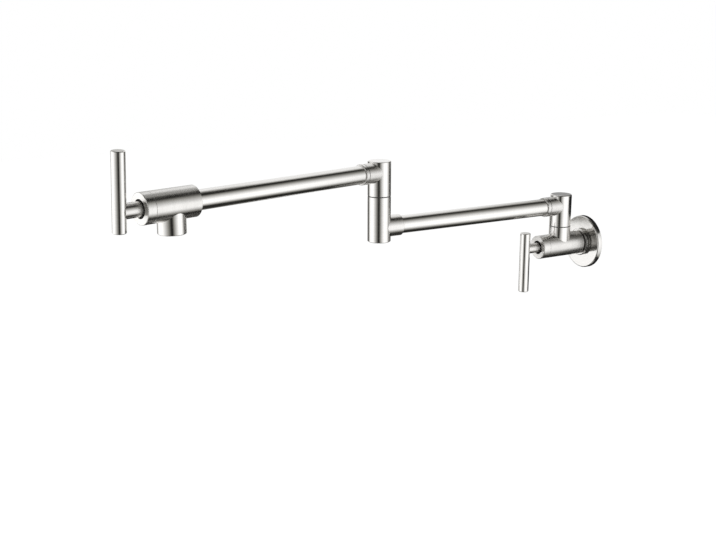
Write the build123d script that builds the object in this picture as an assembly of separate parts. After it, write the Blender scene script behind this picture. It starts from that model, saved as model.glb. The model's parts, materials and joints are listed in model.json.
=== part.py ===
from build123d import *
from math import cos, radians, sin
import os

# Wall mounted pot filler: two swinging arms, two quarter-turn valves, one outlet.
# Millimetres, +Z up. The origin is the centre of the flange's back face, on the wall
# plane y = 0, and the filler reaches out along -Y. Every turned piece is drawn on its
# own axis as local Z, then placed by the frame of the axis that carries it.

# Layout of the axes.
riser_reach = 38.7          # wall plane to the first swivel's axis
inner_arm_length = 241.6    # first swivel to second swivel
outer_arm_length = 255.3    # second swivel to the outlet's axis
inner_arm_height = 46.3     # tube axis above the inlet's axis
outer_arm_height = 104.5     # tube axis above the inlet's axis
inner_swing = 0.0           # degrees from straight out, towards +X
outer_swing = 13.5          # degrees from straight out, towards +X

# Clearances and edges.
fit_gap = 0.03              # radial gap of pieces screwed or pressed together
running_gap = 0.05          # radial gap of a turning fit
face_gap = 0.1              # axial gap between faces that slide on each other
seam_gap = 0.15             # hairline between two screwed pieces
overcut = 1.0               # how far a cutter runs past the face it opens
edge_break = 0.5            # chamfer on turned edges

# Wall flange and its locking collar.
flange_diameter = 61.0
flange_thickness = 6.0
flange_edge_round = 0.9
gasket_outer_diameter = 50.0
gasket_width = 5.0
gasket_thickness = 1.5
collar_diameter = 31.5
collar_length = 4.0
collar_chamfer = 1.0
shank_diameter = 24.0
shank_groove_width = 1.7    # shank left showing between collar and body

# Inlet thread, 1/2 inch pipe, cut at its minor diameter.
inlet_bore_diameter = 18.63
inlet_thread_length = 13.0
water_bore_diameter = 12.0

# Valve bodies.
inner_body_diameter = 26.8
inner_body_face = 69.8      # wall plane to the body's front face
outer_body_diameter = 29.4
outer_body_length = 56.3    # cone's big end to the front face
outer_face_beyond_outlet = 32.4
outer_cone_length = 2.5
outer_cone_small_diameter = 20.3
chamber_diameter = 18.0

# Bonnet cap that closes each body.
cap_length = 9.0
cap_thread_diameter = 20.0
cap_thread_length = 6.3
cap_opening_diameter = 14.8
inner_recess_diameter = 15.4
outer_recess_diameter = 17.6
cap_recess_depth = 3.0

# Quarter-turn cartridge.
cartridge_depth = 39.0      # front face to the seat
seat_seal_height = 2.5
seat_seal_wall = 1.2
seat_seal_exposed = 0.7
disc_thickness = 2.5
disc_diameter = 13.4
disc_port_diameter = 4.4
disc_port_offset = 3.8
skirt_bore_diameter = 14.0
skirt_diameter = 15.6
skirt_top_depth = 24.0      # front face to the top of the skirt's bore
window_height = 6.0
window_width = 8.0
shoulder_depth = 15.5       # front face to the shoulder under the cap
neck_top_depth = 7.0        # front face to the top of the housing's neck
neck_clearance = 0.2
spindle_diameter = 7.9
spindle_foot_width = 6.0
spindle_foot_height = 5.0
spindle_drive_diameter = 6.8
spindle_end_height = 7.0    # front face to the spindle's outer end
clip_diameter = 10.5
clip_thickness = 0.7
clip_groove_diameter = 6.0
seal_groove_width = 2.2
housing_seal_groove_diameter = 14.6
housing_seal_depth = 19.5
spindle_seal_groove_diameter = 5.6
spindle_seal_depths = (11.5, 16.5)

# Lever handles.
inner_stem_diameter = 11.4
outer_stem_diameter = 14.2
stem_tail_diameter = 11.0   # the part inside the cap
stem_shoulder_depth = 2.5   # front face to the tail, inside the cap's recess
stem_start_depth = 6.0
stem_wrap = 2.5             # stem stops this far short of the rod's axis
inner_lever_diameter = 11.7
outer_lever_diameter = 12.7
inner_lever_length = 68.5
outer_lever_length = 72.6
lever_short_side = 18.8     # rod end to the stem's axis
outer_lever_lean = -3.85    # degrees off plumb, as the handle happens to stand
lever_edge = 0.6
inner_rod_standoff = 18.0   # body face to the rod's axis
outer_rod_standoff = 20.1
stud_diameter = 5.0
stud_depth = 3.0            # into the rod, past its axis
grub_diameter = 3.0
grub_hex = 1.5
grub_hex_depth = 1.2
handle_grub_height = 4.5

# Posts and swivels.
post_diameter = 24.5
riser_seam_height = 22.4
riser_top_height = 59.6
riser_top_round = 1.5
post_bottom_height = 31.2
post_seam_height = 79.3
post_top_height = 116.5
post_top_round = 0.8
post_cap_wall = 4.0
post_chamber_diameter = 14.0
spigot_diameter = 16.0
spigot_bore_diameter = 10.0
spigot_thread_length = 11.0
spigot_rise = 15.5          # above the seam
glide_thickness = 0.8
glide_diameter = 23.7
bearing_diameter = 19.0
bearing_length = 3.0
swivel_seal_groove_diameter = 12.6
swivel_seal_rises = (5.6, 13.2)
retaining_rise = 9.4
retaining_groove_width = 3.6
retaining_groove_diameter = 13.0
retaining_screw_diameter = 3.0
retaining_gap = 0.3         # between the screw's tip and the groove's floor

# Arm tubes, bosses and collars.
tube_diameter = 19.05
tube_wall = 1.24
inner_boss_diameter = 21.9
inner_boss_reach = 21.0     # riser axis to the boss's face
outer_boss_diameter = 21.6
outer_boss_reach = 22.5     # post axis to the boss's face
arm_collar_length = 4.2
ring_groove_width = 0.5     # dark line between boss and collar
collar_neck_diameter = 16.0
collar_neck_length = 8.0
collar_socket_depth = 3.0
front_boss_diameter = 22.6
front_boss_reach = 24.2     # post axis to the end of the lower post's boss
tube_socket_depth = 9.0

# Outlet and aerator.
outlet_diameter = 26.4
outlet_drop = 26.5          # tube axis to the outlet's mouth
outlet_bore_diameter = 12.0
aerator_diameter = 22.0
aerator_seat_drop = 16.0
aerator_washer_thickness = 1.5
aerator_washer_bore = 13.0
aerator_inset = 0.6
aerator_bore_diameter = 17.6
aerator_lip = 1.0
screen_thickness = 1.2
screen_rise = 2.2           # screen above the aerator's lower face
screen_hole_diameter = 1.8
screen_middle_ring = 2.9    # radius
screen_outer_ring = 5.8     # radius
screen_middle_count = 6
screen_outer_count = 12


def rod(diameter, start, end):
    """A solid round bar on local Z."""
    bar = Cylinder(diameter / 2, end - start, align=(Align.CENTER, Align.CENTER, Align.MIN))
    return Pos(0, 0, start) * bar


def sleeve(outer, inner, start, end):
    """A round bar with a round bore through it."""
    return rod(outer, start, end) - rod(inner, start - overcut, end + overcut)


def cone(start_diameter, end_diameter, start, end):
    """A tapering round bar on local Z."""
    taper = Cone(start_diameter / 2, end_diameter / 2, end - start,
                 align=(Align.CENTER, Align.CENTER, Align.MIN))
    return Pos(0, 0, start) * taper


def seal_ring(groove_diameter, bore_diameter, height):
    """A round-section seal that just fills the space from groove floor to bore."""
    section = (bore_diameter - groove_diameter) / 4 - fit_gap
    middle = (bore_diameter + groove_diameter) / 4
    return Pos(0, 0, height) * Torus(middle, section)


def seal_groove(groove_diameter, outer_diameter, height, width):
    """The cutter for a square groove round a bar."""
    return sleeve(outer_diameter + overcut, groove_diameter, height - width / 2, height + width / 2)


def cross_bar(diameter, low, high, height=0.0):
    """A round bar on local Y, crossing the Z axis at this height."""
    return Pos(0, 0, height) * Rot(-90, 0, 0) * rod(diameter, low, high)


def grub_screw(diameter, hex_size, hex_depth, start, end):
    """A headless screw on local Z with a hexagon socket in its outer end."""
    socket = extrude(RegularPolygon(hex_size / 2, 6), hex_depth)
    return rod(diameter, start, end) - Pos(0, 0, end - hex_depth) * socket


def end_edges(shape, height):
    """The circular edges of a turned piece that lie in one plane across local Z."""
    return [edge for edge in shape.edges() if edge.geom_type == GeomType.CIRCLE
            and abs(edge.center().Z - height) < 0.01]


def widest(edges):
    """The largest circle of a group of edges."""
    return max(edges, key=lambda edge: edge.radius)


def arm_frame(pivot, swing, height):
    """A frame whose Z runs along an arm, with Y up."""
    along = (sin(radians(swing)), -cos(radians(swing)), 0)
    side = (cos(radians(swing)), sin(radians(swing)), 0)
    return Location(Plane(origin=(pivot.X, pivot.Y, height), x_dir=side, z_dir=along))


# Frames of the five axes.
riser_pivot = Vector(0, -riser_reach, 0)
inner_arm_direction = Vector(sin(radians(inner_swing)), -cos(radians(inner_swing)), 0)
middle_pivot = riser_pivot + inner_arm_direction * inner_arm_length
wall_frame = Location(Plane(origin=(0, 0, 0), x_dir=(1, 0, 0), z_dir=(0, -1, 0)))
stub_frame = Location((0, -riser_reach, 0))
riser_frame = Location((riser_pivot.X, riser_pivot.Y, 0), (0, 0, inner_swing))
inner_frame = arm_frame(riser_pivot, inner_swing, inner_arm_height)
middle_frame = Location((middle_pivot.X, middle_pivot.Y, 0), (0, 0, inner_swing))
upper_frame = Location((middle_pivot.X, middle_pivot.Y, 0), (0, 0, outer_swing))
outer_frame = arm_frame(middle_pivot, outer_swing, outer_arm_height)
outer_face = outer_arm_length + outer_face_beyond_outlet
inner_valve_frame = wall_frame * Pos(0, 0, inner_body_face)
outer_valve_frame = outer_frame * Pos(0, 0, outer_face)
outlet_frame = outer_frame * Pos(0, 0, outer_arm_length) * Rot(90, 0, 0)

nodes = {}


def keep(name, shape, frame=None):
    """Place a piece and file it under its node's name."""
    nodes[name] = shape if frame is None else frame * shape


# Wall flange: a rounded disc that slides over the shank and hides the wall hole.
collar_front = flange_thickness + seam_gap + collar_length
body_back = collar_front + shank_groove_width
shank_hole = shank_diameter + 2 * fit_gap

flange = rod(flange_diameter, 0, flange_thickness)
flange = fillet(widest(end_edges(flange, flange_thickness)), flange_edge_round)
gasket_bore = gasket_outer_diameter - 2 * gasket_width
flange -= rod(shank_hole, -overcut, flange_thickness + overcut)
flange -= sleeve(gasket_outer_diameter + 2 * fit_gap, gasket_bore - 2 * fit_gap, -overcut, gasket_thickness)
keep("wall_flange", flange, wall_frame)
keep("flange_gasket", sleeve(gasket_outer_diameter, gasket_bore, 0, gasket_thickness - fit_gap), wall_frame)

# Locking collar, with a grub screw underneath that bites the shank.
collar = rod(collar_diameter, flange_thickness + seam_gap, collar_front)
collar = chamfer(widest(end_edges(collar, collar_front)), collar_chamfer)
collar -= rod(shank_hole, 0, collar_front + overcut)
collar_screw_height = flange_thickness + seam_gap + collar_length / 2
collar_screw_frame = Pos(0, 0, collar_screw_height) * Rot(90, 0, 0)
collar -= collar_screw_frame * rod(grub_diameter + 2 * fit_gap, 0, collar_diameter)
keep("rear_collar", collar, wall_frame)
collar_screw = grub_screw(grub_diameter, grub_hex, grub_hex_depth,
                          shank_diameter / 2 + fit_gap, collar_diameter / 2 - edge_break)
keep("collar_grub_screw", collar_screw_frame * collar_screw, wall_frame)

# Inner valve body: inlet shank, cartridge chamber and the riser's stub in one casting.
inner_body_end = inner_body_face - cap_length - seam_gap
inner_seat = inner_body_face - cartridge_depth
cap_bore = cap_thread_diameter + 2 * fit_gap
body = rod(inner_body_diameter, body_back, inner_body_end)
body = chamfer(end_edges(body, body_back), edge_break)
body += rod(shank_diameter, 0, body_back)
body = wall_frame * body + stub_frame * rod(post_diameter, 0, riser_seam_height)
inlet_passages = rod(inlet_bore_diameter, -overcut, inlet_thread_length)
inlet_passages += rod(water_bore_diameter, 0, inner_seat + overcut)
inlet_passages += rod(chamber_diameter, inner_seat, inner_body_face)
inlet_passages += rod(cap_bore, inner_body_end - cap_thread_length - seam_gap, inner_body_face)
body -= wall_frame * inlet_passages
spigot_hole = spigot_diameter + 2 * fit_gap
riser_thread_floor = riser_seam_height - spigot_thread_length - seam_gap
body -= stub_frame * rod(water_bore_diameter, 0, riser_seam_height)
body -= stub_frame * rod(spigot_hole, riser_thread_floor, riser_seam_height + overcut)
keep("inner_valve_body", body)


def add_swivel(name, seam, frame, head_frame):
    """The pieces of one swivel, from the seam up: spigot, seals, bearing and retaining screw."""
    head_bottom = seam + glide_thickness + face_gap
    spigot = rod(spigot_diameter, seam - spigot_thread_length, seam + spigot_rise)
    spigot = chamfer(end_edges(spigot, seam + spigot_rise), edge_break)
    spigot -= rod(spigot_bore_diameter, seam - spigot_thread_length - overcut, seam + spigot_rise + overcut)
    for rise in swivel_seal_rises:
        spigot -= seal_groove(swivel_seal_groove_diameter, spigot_diameter, seam + rise, seal_groove_width)
    retaining_height = seam + retaining_rise
    spigot -= seal_groove(retaining_groove_diameter, spigot_diameter,
                          retaining_height, retaining_groove_width)
    keep(name + "_spigot", spigot, frame)
    rings = [seal_ring(swivel_seal_groove_diameter, spigot_diameter + 2 * running_gap, seam + rise)
             for rise in swivel_seal_rises]
    keep(name + "_seals", Compound(rings), frame)
    keep(name + "_glide_washer", sleeve(glide_diameter, spigot_hole, seam, seam + glide_thickness), frame)
    bearing = sleeve(bearing_diameter, spigot_diameter + 2 * running_gap,
                     head_bottom, head_bottom + bearing_length)
    keep(name + "_bearing", bearing, head_frame)
    screw = grub_screw(retaining_screw_diameter, grub_hex, grub_hex_depth,
                       retaining_groove_diameter / 2 + retaining_gap, post_diameter / 2 - edge_break)
    keep(name + "_retaining_screw", Pos(0, 0, retaining_height) * Rot(-90, 0, 0) * screw, head_frame)


def swivel_head(seam, top, round_radius, arm_height, boss_diameter, boss_reach):
    """The turning upper part of a post, with the boss that its arm screws into."""
    bottom = seam + glide_thickness + face_gap
    head = rod(post_diameter, bottom, top)
    head = fillet(end_edges(head, top), round_radius)
    boss = Pos(0, 0, arm_height) * Rot(90, 0, 0)
    head += boss * rod(boss_diameter, 0, boss_reach)
    spigot_top = seam + spigot_rise + seam_gap
    head -= rod(spigot_diameter + 2 * running_gap, bottom - overcut, spigot_top)
    head -= rod(bearing_diameter + 2 * fit_gap, bottom - overcut, bottom + bearing_length + fit_gap)
    head -= rod(post_chamber_diameter, spigot_top - overcut, top - post_cap_wall)
    neck_floor = boss_reach + ring_groove_width - collar_neck_length - seam_gap
    head -= boss * rod(water_bore_diameter, 0, boss_reach + overcut)
    head -= boss * rod(collar_neck_diameter + 2 * fit_gap, neck_floor, boss_reach + overcut)
    screw_hole = Pos(0, 0, seam + retaining_rise) * Rot(-90, 0, 0)
    head -= screw_hole * rod(retaining_screw_diameter + 2 * fit_gap, 0, post_diameter)
    return head


def arm_collar(boss_diameter, boss_reach):
    """The threaded collar that joins an arm tube to its boss."""
    start = boss_reach + ring_groove_width
    end = start + arm_collar_length
    collar = rod(boss_diameter, start, end)
    collar = chamfer(end_edges(collar, end), edge_break)
    collar += rod(collar_neck_diameter, start - collar_neck_length, start)
    collar -= rod(water_bore_diameter, start - collar_neck_length - overcut, end + overcut)
    collar -= rod(tube_diameter + 2 * fit_gap, end - collar_socket_depth, end + overcut)
    return collar


tube_bore_diameter = tube_diameter - 2 * tube_wall

# First swivel, on the valve body's stub, and the riser head that turns on it.
add_swivel("riser", riser_seam_height, stub_frame, riser_frame)
riser_head = swivel_head(riser_seam_height, riser_top_height, riser_top_round,
                         inner_arm_height, inner_boss_diameter, inner_boss_reach)
keep("riser_head", riser_head, riser_frame)

# Inner arm: collar, tube and the lower half of the middle post.
inner_tube_start = inner_boss_reach + ring_groove_width + arm_collar_length - collar_socket_depth + fit_gap
inner_tube_end = inner_arm_length - front_boss_reach + tube_socket_depth
keep("inner_arm_collar", arm_collar(inner_boss_diameter, inner_boss_reach), inner_frame)
inner_tube = sleeve(tube_diameter, tube_bore_diameter, inner_tube_start, inner_tube_end)
keep("inner_arm_tube", inner_tube, inner_frame)

lower_post = rod(post_diameter, post_bottom_height, post_seam_height)
lower_post = chamfer(end_edges(lower_post, post_bottom_height), edge_break)
back_boss = Pos(0, 0, inner_arm_height) * Rot(-90, 0, 0)
lower_post += back_boss * rod(front_boss_diameter, 0, front_boss_reach)
lower_post -= rod(post_chamber_diameter, post_bottom_height + post_cap_wall, post_seam_height)
post_thread_floor = post_seam_height - spigot_thread_length - seam_gap
lower_post -= rod(spigot_hole, post_thread_floor, post_seam_height + overcut)
lower_post -= back_boss * rod(water_bore_diameter, 0, front_boss_reach)
tube_socket_floor = front_boss_reach - tube_socket_depth - seam_gap
lower_post -= back_boss * rod(tube_diameter + 2 * fit_gap, tube_socket_floor, front_boss_reach + overcut)
keep("middle_post_lower", lower_post, middle_frame)

# Second swivel and the upper half of the middle post.
add_swivel("post", post_seam_height, middle_frame, upper_frame)
upper_post = swivel_head(post_seam_height, post_top_height, post_top_round,
                         outer_arm_height, outer_boss_diameter, outer_boss_reach)
keep("middle_post_upper", upper_post, upper_frame)

# Outer arm: collar, tube and the outer valve body with its outlet.
outer_cone_end = outer_face - outer_body_length
outer_cone_start = outer_cone_end - outer_cone_length
outer_tube_start = outer_boss_reach + ring_groove_width + arm_collar_length - collar_socket_depth + fit_gap
outer_tube_end = outer_cone_start + tube_socket_depth
keep("outer_arm_collar", arm_collar(outer_boss_diameter, outer_boss_reach), outer_frame)
outer_tube = sleeve(tube_diameter, tube_bore_diameter, outer_tube_start, outer_tube_end)
keep("outer_arm_tube", outer_tube, outer_frame)

outer_body_end = outer_face - cap_length - seam_gap
outer_seat = outer_face - cartridge_depth
outer_body = rod(outer_body_diameter, outer_cone_end, outer_body_end)
outer_body += cone(outer_cone_small_diameter, outer_body_diameter, outer_cone_start, outer_cone_end)
outer_passages = rod(tube_diameter + 2 * fit_gap, outer_cone_start - overcut, outer_tube_end + seam_gap)
outer_passages += rod(water_bore_diameter, outer_tube_end, outer_seat + overcut)
outer_passages += rod(chamber_diameter, outer_seat, outer_face)
outer_passages += rod(cap_bore, outer_body_end - cap_thread_length - seam_gap, outer_face)
outlet = rod(outlet_diameter, 0, outlet_drop)
outlet = chamfer(end_edges(outlet, outlet_drop), edge_break)
outer_body = outer_frame * outer_body + outlet_frame * outlet
outer_body -= outer_frame * outer_passages
outer_body -= outlet_frame * rod(outlet_bore_diameter, 0, outlet_drop + overcut)
outer_body -= outlet_frame * rod(aerator_diameter + 2 * fit_gap, aerator_seat_drop, outlet_drop + overcut)
keep("outer_valve_body", outer_body)

# Aerator: washer, cage and a perforated screen, all below the outlet's bore.
washer_end = aerator_seat_drop + aerator_washer_thickness
washer = sleeve(aerator_diameter, aerator_washer_bore, aerator_seat_drop, washer_end)
keep("aerator_washer", washer, outlet_frame)
cage_start = washer_end + fit_gap
cage_end = outlet_drop - aerator_inset
cage = rod(aerator_diameter, cage_start, cage_end)
cage -= rod(aerator_bore_diameter, cage_start - overcut, cage_end - aerator_lip)
cage -= rod(aerator_bore_diameter - 2 * aerator_lip, cage_start, cage_end + overcut)
keep("aerator_cage", cage, outlet_frame)
screen_end = cage_end - aerator_lip - fit_gap
screen = rod(aerator_bore_diameter - 2 * fit_gap, screen_end - screen_thickness, screen_end)
screen_spots = [Location((0, 0, 0))]
screen_spots += PolarLocations(screen_middle_ring, screen_middle_count).locations
screen_spots += PolarLocations(screen_outer_ring, screen_outer_count).locations
for spot in screen_spots:
    screen -= spot * rod(screen_hole_diameter, screen_end - screen_thickness - overcut, screen_end + overcut)
keep("aerator_screen", screen, outlet_frame)


def add_cartridge(name, frame):
    """A quarter-turn ceramic cartridge and its bonnet cap; local Z = 0 is the body's front face."""
    seat = -cartridge_depth
    seal_top = seat + seat_seal_height
    disc_split = seal_top + fit_gap + disc_thickness
    moving_start = disc_split + face_gap
    foot_start = moving_start + disc_thickness + fit_gap
    skirt_top = -skirt_top_depth
    seal_diameter = skirt_bore_diameter - 2 * fit_gap

    seal = sleeve(seal_diameter, seal_diameter - 2 * seat_seal_wall, seat, seal_top)
    keep(name + "_seat_seal", seal, frame)

    port = rod(disc_port_diameter, seat, skirt_top)
    ports = [Pos(side * disc_port_offset, 0, 0) * port for side in (-1, 1)]
    fixed_disc = rod(disc_diameter, seal_top + fit_gap, disc_split) - ports
    moving_disc = rod(disc_diameter, moving_start, moving_start + disc_thickness) - ports
    keep(name + "_fixed_disc", fixed_disc, frame)
    keep(name + "_moving_disc", Rot(0, 0, 90) * moving_disc, frame)

    housing = rod(skirt_diameter, seat + seat_seal_exposed, skirt_top)
    housing += rod(chamber_diameter - 2 * fit_gap, skirt_top, -shoulder_depth)
    neck = cap_opening_diameter - 2 * neck_clearance
    housing += rod(neck, -shoulder_depth, -neck_top_depth)
    housing -= rod(skirt_bore_diameter, seat, skirt_top)
    housing -= rod(spindle_diameter + 2 * running_gap, skirt_top - overcut, 0)
    window = Box(2 * chamber_diameter, window_width, window_height,
                 align=(Align.CENTER, Align.CENTER, Align.MIN))
    housing -= Pos(0, 0, skirt_top - window_height) * window
    housing -= seal_groove(housing_seal_groove_diameter, chamber_diameter,
                           -housing_seal_depth, seal_groove_width)
    keep(name + "_cartridge_housing", housing, frame)
    housing_seal = seal_ring(housing_seal_groove_diameter, chamber_diameter, -housing_seal_depth)
    keep(name + "_housing_seal", housing_seal, frame)

    spindle = rod(disc_diameter, foot_start, foot_start + spindle_foot_height)
    spindle &= Box(spindle_foot_width, 2 * disc_diameter, 2 * cartridge_depth)
    spindle += rod(spindle_diameter, foot_start, -neck_top_depth + face_gap)
    spindle += rod(spindle_drive_diameter, foot_start, spindle_end_height)
    for depth in spindle_seal_depths:
        spindle -= seal_groove(spindle_seal_groove_diameter, spindle_diameter, -depth, seal_groove_width)
    clip_start = -neck_top_depth + face_gap
    spindle -= sleeve(spindle_diameter + overcut, clip_groove_diameter,
                      clip_start, clip_start + clip_thickness + fit_gap)
    keep(name + "_spindle", spindle, frame)
    spindle_rings = [seal_ring(spindle_seal_groove_diameter, spindle_diameter + 2 * running_gap, -depth)
                     for depth in spindle_seal_depths]
    keep(name + "_spindle_seals", Compound(spindle_rings), frame)
    clip = sleeve(clip_diameter, clip_groove_diameter + 2 * fit_gap, clip_start, clip_start + clip_thickness)
    clip -= Box(clip_diameter, spindle_drive_diameter / 2, cartridge_depth,
                align=(Align.MIN, Align.CENTER, Align.CENTER))
    keep(name + "_spindle_clip", clip, frame)


def add_bonnet_cap(name, body_diameter, recess_diameter, frame):
    """The screwed cap whose flat front ring closes a valve body, with a recess round the stem."""
    cap = rod(body_diameter, -cap_length, 0)
    cap = chamfer(end_edges(cap, 0), edge_break)
    cap += rod(cap_thread_diameter, -cap_length - cap_thread_length, -cap_length)
    cap -= rod(cap_opening_diameter, -cartridge_depth, overcut)
    cap -= rod(recess_diameter, -cap_recess_depth, overcut)
    keep(name + "_bonnet_cap", cap, frame)


def add_lever(name, rod_standoff, long_side, stem_diameter, lever_diameter, lever_length, frame):
    """Stem, rod and grub screw of a lever; long_side is -1 with the long end down, +1 up."""
    low, high = sorted((-long_side * lever_short_side, long_side * (lever_length - lever_short_side)))
    lever = rod(lever_diameter, low, high)
    lever = chamfer(end_edges(lever, low) + end_edges(lever, high), lever_edge)
    lever = Pos(0, 0, rod_standoff) * Rot(-90, 0, 0) * lever
    stud_end = rod_standoff + stud_depth
    lever -= rod(stud_diameter + 2 * fit_gap, 0, stud_end + seam_gap)
    keep(name + "_lever_rod", lever, frame)

    stem = rod(stem_diameter, -stem_shoulder_depth, rod_standoff - stem_wrap)
    stem += rod(stem_tail_diameter, -stem_start_depth, 0)
    stem -= cross_bar(lever_diameter + 2 * fit_gap, low, high, rod_standoff)
    stem += rod(stud_diameter, rod_standoff - lever_diameter / 2 - stem_wrap, stud_end)
    stem -= rod(spindle_drive_diameter + 2 * fit_gap,
                -stem_start_depth - overcut, spindle_end_height + fit_gap)
    grub_frame = Pos(0, 0, handle_grub_height) * Rot(90, 0, 0)
    stem -= grub_frame * rod(grub_diameter + 2 * fit_gap, 0, stem_diameter)
    keep(name + "_lever_stem", stem, frame)
    grub = grub_screw(grub_diameter, grub_hex, grub_hex_depth,
                      spindle_drive_diameter / 2 + fit_gap, stem_diameter / 2 - edge_break)
    keep(name + "_lever_grub_screw", grub_frame * grub, frame)


add_cartridge("inner", inner_valve_frame)
add_bonnet_cap("inner", inner_body_diameter, inner_recess_diameter, inner_valve_frame)
add_lever("inner", inner_rod_standoff, -1, inner_stem_diameter,
          inner_lever_diameter, inner_lever_length, inner_valve_frame)
add_cartridge("outer", outer_valve_frame)
add_bonnet_cap("outer", outer_body_diameter, outer_recess_diameter, outer_valve_frame)
add_lever("outer", outer_rod_standoff, 1, outer_stem_diameter,
          outer_lever_diameter, outer_lever_length, outer_valve_frame * Rot(0, 0, outer_lever_lean))

os.makedirs("parts", exist_ok=True)
for name, shape in nodes.items():
    export_step(shape, f"parts/{name}.step")
print(len(nodes), "nodes written")
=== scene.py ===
import bmesh
import bpy
import json
from collections import namedtuple
from math import cos, degrees, radians, sin, tau
from mathutils import Matrix, Vector

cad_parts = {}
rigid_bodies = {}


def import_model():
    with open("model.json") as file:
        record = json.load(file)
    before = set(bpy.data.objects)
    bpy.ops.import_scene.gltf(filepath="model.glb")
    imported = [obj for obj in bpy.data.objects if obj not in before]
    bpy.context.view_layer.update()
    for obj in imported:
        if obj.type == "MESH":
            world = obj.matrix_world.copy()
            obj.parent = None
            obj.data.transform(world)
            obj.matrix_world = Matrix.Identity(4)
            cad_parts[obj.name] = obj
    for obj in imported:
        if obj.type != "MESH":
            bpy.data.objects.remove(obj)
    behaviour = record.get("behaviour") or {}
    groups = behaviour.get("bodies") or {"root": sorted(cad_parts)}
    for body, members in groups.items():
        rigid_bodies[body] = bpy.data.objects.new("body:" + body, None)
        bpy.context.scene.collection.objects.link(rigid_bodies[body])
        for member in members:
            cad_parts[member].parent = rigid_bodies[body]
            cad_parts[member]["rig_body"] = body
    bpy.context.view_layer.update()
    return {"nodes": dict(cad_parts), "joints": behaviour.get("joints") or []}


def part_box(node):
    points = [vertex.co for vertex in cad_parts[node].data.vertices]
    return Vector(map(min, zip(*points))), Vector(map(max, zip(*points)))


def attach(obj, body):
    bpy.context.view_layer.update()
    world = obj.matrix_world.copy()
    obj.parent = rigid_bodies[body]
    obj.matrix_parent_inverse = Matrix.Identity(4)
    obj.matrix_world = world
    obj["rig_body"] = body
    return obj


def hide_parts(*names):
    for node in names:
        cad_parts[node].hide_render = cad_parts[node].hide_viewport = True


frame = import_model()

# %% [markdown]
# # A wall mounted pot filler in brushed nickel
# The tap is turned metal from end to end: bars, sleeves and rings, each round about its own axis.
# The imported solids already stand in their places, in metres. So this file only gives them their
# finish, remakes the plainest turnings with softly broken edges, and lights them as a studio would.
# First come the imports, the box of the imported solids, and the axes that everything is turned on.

MM = 0.001
nodes = frame["nodes"]
joints = {joint["name"]: joint for joint in frame["joints"]}

# %% [markdown]
# Brushing on a turned piece runs round its axis, so every finish and every new ring needs that
# axis. An axis is kept as a matrix whose Z runs along it. The joints of the record give the two
# swivel posts and the outer arm's direction, and the tubes' boxes give the heights of the arms.
# The outer lever stands a few degrees off plumb, so its axis leans as much.

# %% The axes of the tap
OUTER_LEVER_LEAN = radians(-3.85)
UP = Vector((0, 0, 1))
OUT_OF_WALL = Vector((0, -1, 0))


def axis_frame(origin, along):
    """A matrix that takes local Z to this axis, with its origin on it."""
    along = Vector(along).normalized()
    return Matrix.Translation(Vector(origin)) @ along.to_track_quat("Z", "Y").to_matrix().to_4x4()


def box_middle(node):
    """The middle of a node's box."""
    low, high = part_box(node)
    return (low + high) / 2


def lever_axis(node, turned_on, lean):
    """The axis of a lever rod, which leans by this much about the axis it turns on."""
    return axis_frame(box_middle(node), Matrix.Rotation(lean, 3, turned_on) @ UP)


riser_point = Vector(joints["riser_swivel"]["pos_m"])
middle_point = Vector(joints["middle_swivel"]["pos_m"])
outer_direction = Vector(joints["outer_lever_turn"]["axis"])
inner_direction = Vector((middle_point.x - riser_point.x, middle_point.y - riser_point.y, 0))
inner_height = box_middle("inner_arm_tube").z
outer_height = box_middle("outer_arm_tube").z
outlet_centre = box_middle("aerator_washer")

AXES = {
    "wall": axis_frame((0, 0, 0), OUT_OF_WALL),
    "riser": axis_frame((riser_point.x, riser_point.y, 0), UP),
    "inner_arm": axis_frame((riser_point.x, riser_point.y, inner_height), inner_direction),
    "middle": axis_frame((middle_point.x, middle_point.y, 0), UP),
    "outer_arm": axis_frame((middle_point.x, middle_point.y, outer_height), outer_direction),
    "outlet": axis_frame((outlet_centre.x, outlet_centre.y, 0), UP),
    "inner_lever": lever_axis("inner_lever_rod", OUT_OF_WALL, 0.0),
    "outer_lever": lever_axis("outer_lever_rod", outer_direction, OUTER_LEVER_LEAN),
}
print("axes:", ", ".join(AXES))

# %% [markdown]
# ## Turned finishes
# Brushed nickel is sanded or lathe-finished while it spins, which leaves fine rings: hairlines that
# run round a bar, and circles on its end faces. A noise stretched round the axis gives both at once
# if its fast direction is the height plus the radius. The rings change the roughness and a very
# shallow bump, so the reflections break up as they do on the real metal. One node group makes the
# rings, and each finish places it with its own density. Its Flow says how soon a hairline ends on
# its way round the bar.
#
# Every material below is built from the same few nodes, so each kind of node gets a helper first.

# %% Node helpers
def new_group(name, inputs, outputs):
    """A shader node group with float or vector inputs and outputs, and its end nodes."""
    group = bpy.data.node_groups.new(name, "ShaderNodeTree")
    for label, kind, value in inputs:
        socket = group.interface.new_socket(label, in_out="INPUT", socket_type=kind)
        if value is not None:
            socket.default_value = value
    for label, kind in outputs:
        group.interface.new_socket(label, in_out="OUTPUT", socket_type=kind)
    return group, group.nodes.new("NodeGroupInput"), group.nodes.new("NodeGroupOutput")


def feed(tree, socket, value):
    """Link an output to a socket, or set the socket to a plain value."""
    if isinstance(value, bpy.types.NodeSocket):
        tree.links.new(value, socket)
    else:
        socket.default_value = value


def math_node(tree, operation, *values, clamp=False):
    """One Math node; its output."""
    node = tree.nodes.new("ShaderNodeMath")
    node.operation = operation
    node.use_clamp = clamp
    for socket, value in zip(node.inputs, values):
        feed(tree, socket, value)
    return node.outputs[0]


def noise_node(tree, vector, scale, detail=2.0, roughness=0.5):
    """One Noise Texture; its value output."""
    node = tree.nodes.new("ShaderNodeTexNoise")
    feed(tree, node.inputs["Vector"], vector)
    feed(tree, node.inputs["Scale"], scale)
    node.inputs["Detail"].default_value = detail
    node.inputs["Roughness"].default_value = roughness
    return node.outputs[0]


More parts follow.
